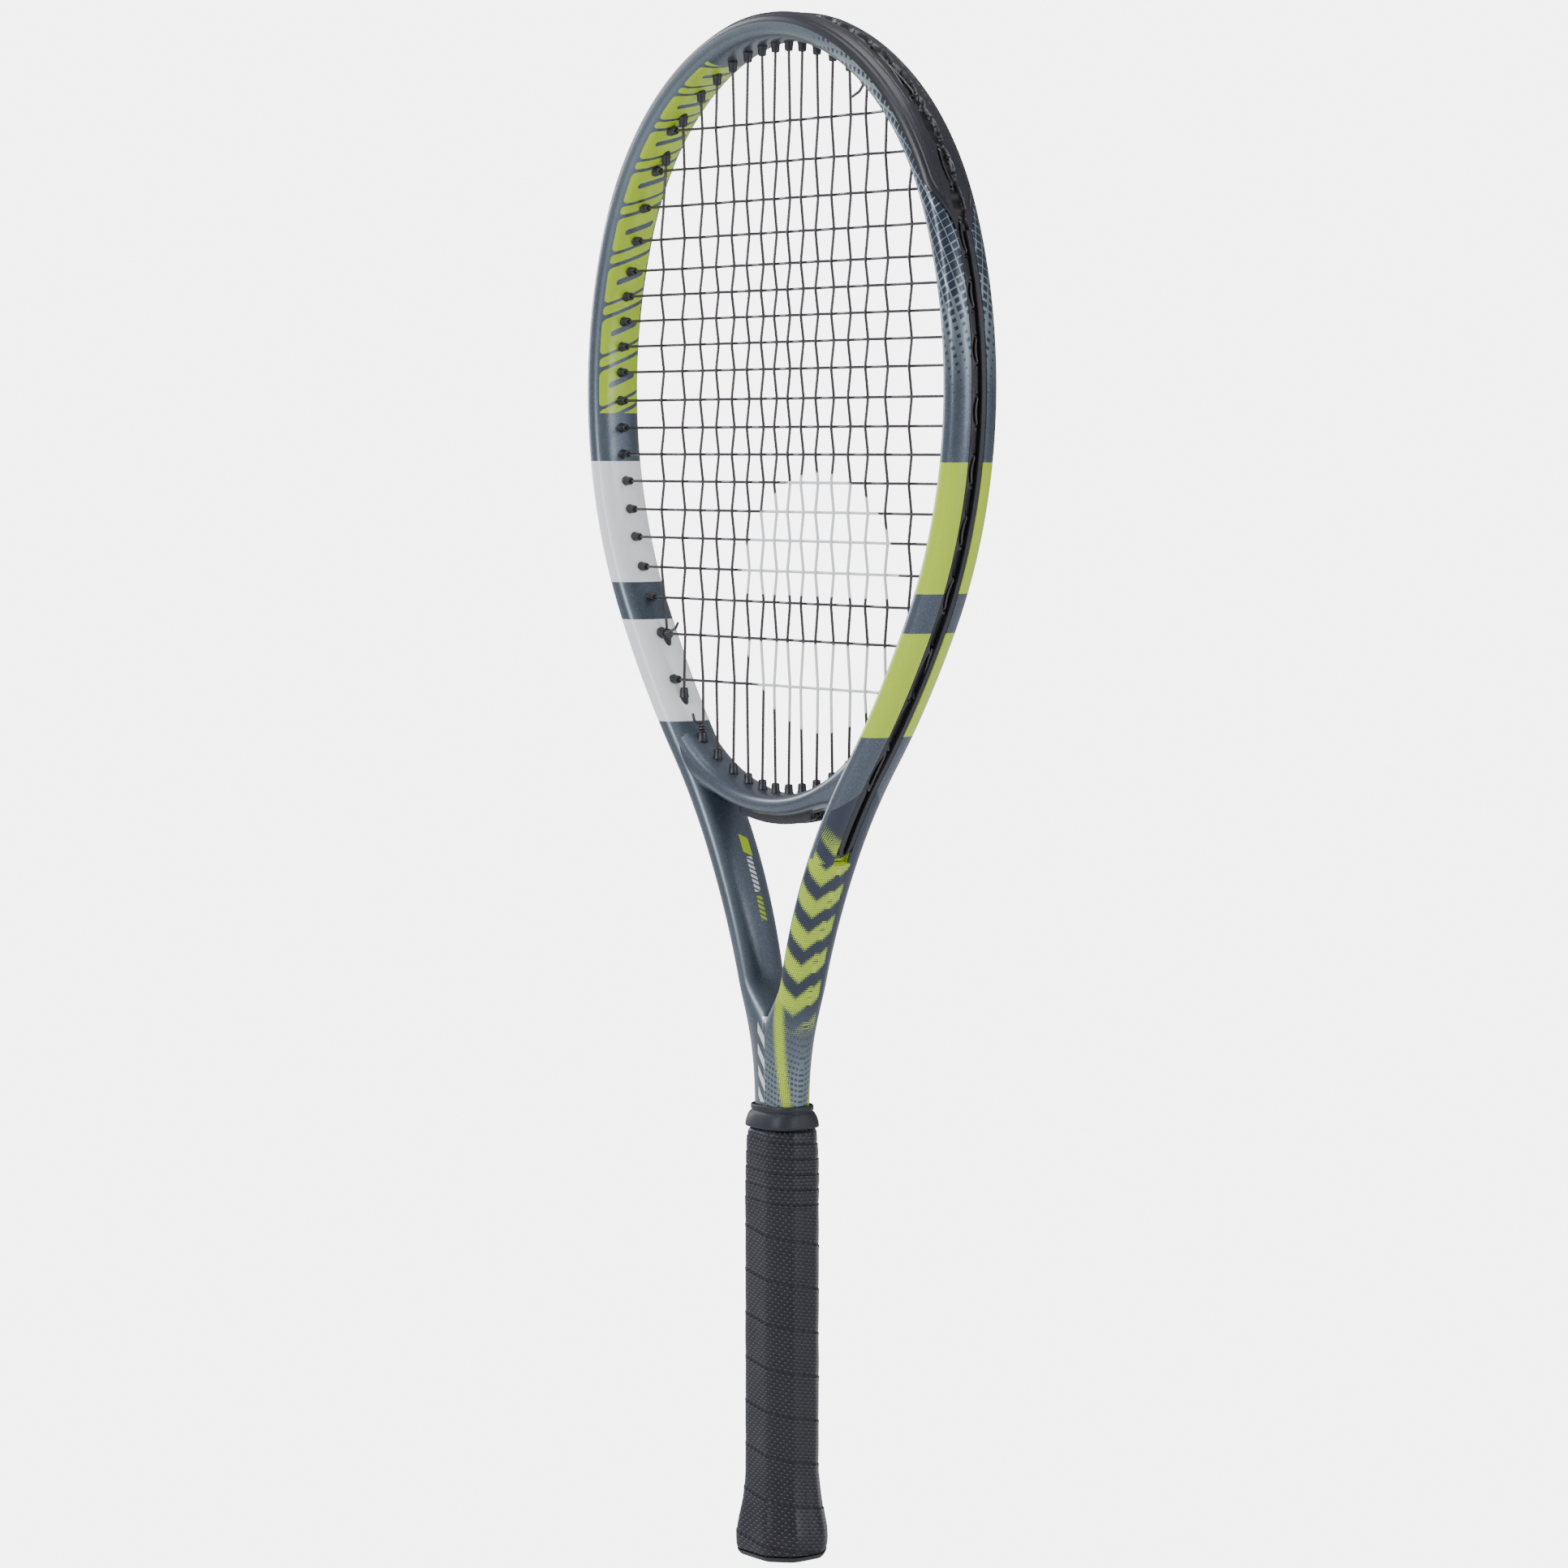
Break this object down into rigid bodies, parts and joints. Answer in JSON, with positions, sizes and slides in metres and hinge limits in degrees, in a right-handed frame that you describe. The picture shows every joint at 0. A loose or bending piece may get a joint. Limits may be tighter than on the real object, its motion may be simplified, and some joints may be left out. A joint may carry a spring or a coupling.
{
  "type": "tennis racket",
  "caption": "Strung tennis racket with a hollow oval head, open throat, bumper guard, grommet strips, woven strings and a wrapped octagonal grip.",
  "frame": {"origin": "middle of the butt's base", "axes": "+Z along the racket from butt to crown, +Y through the string bed, +X across the head"},
  "size_m": [0.27, 0.0368, 0.6849],
  "materials": {
    "frame_paint": "satin metallic lacquer over moulded carbon fibre",
    "nylon": "satin moulded nylon",
    "string": "glossy extruded polyester",
    "grip_tape": "perforated polyurethane tape with a dull sheen",
    "collar_rubber": "smooth moulded rubber",
    "foam": "cast polyurethane foam",
    "cap_plastic": "moulded polypropylene",
    "tape_film": "thin adhesive vinyl",
    "steel": "galvanised wire"
  },
  "bodies": {
    "racket": {"hoop_tube": "frame_paint", "left_arm": "frame_paint", "right_arm": "frame_paint", "bridge_tube": "frame_paint", "left_shaft": "frame_paint", "right_shaft": "frame_paint", "bumper_guard": "nylon", "left_strip": "nylon", "right_strip": "nylon", "bridge_strip": "nylon", "mains_string": "string", "cross_string": "string", "front_pallet": "foam", "back_pallet": "foam", "butt_cap": "cap_plastic", "butt_staples": "steel", "tape_tack": "steel", "grip_tape": "grip_tape", "finishing_tape": "tape_film"},
    "collar": {"grip_collar": "collar_rubber"},
    "lid": {"butt_lid": "cap_plastic"}
  },
  "joints": [
    {"name": "collar_slide", "type": "slide", "parent": "racket", "child": "collar", "axis": [0, 0, 1], "range_m": [0, 0.006]},
    {"name": "lid_pull", "type": "slide", "parent": "racket", "child": "lid", "axis": [0, 0, -1], "range_m": [0, 0.012]}
  ]
}
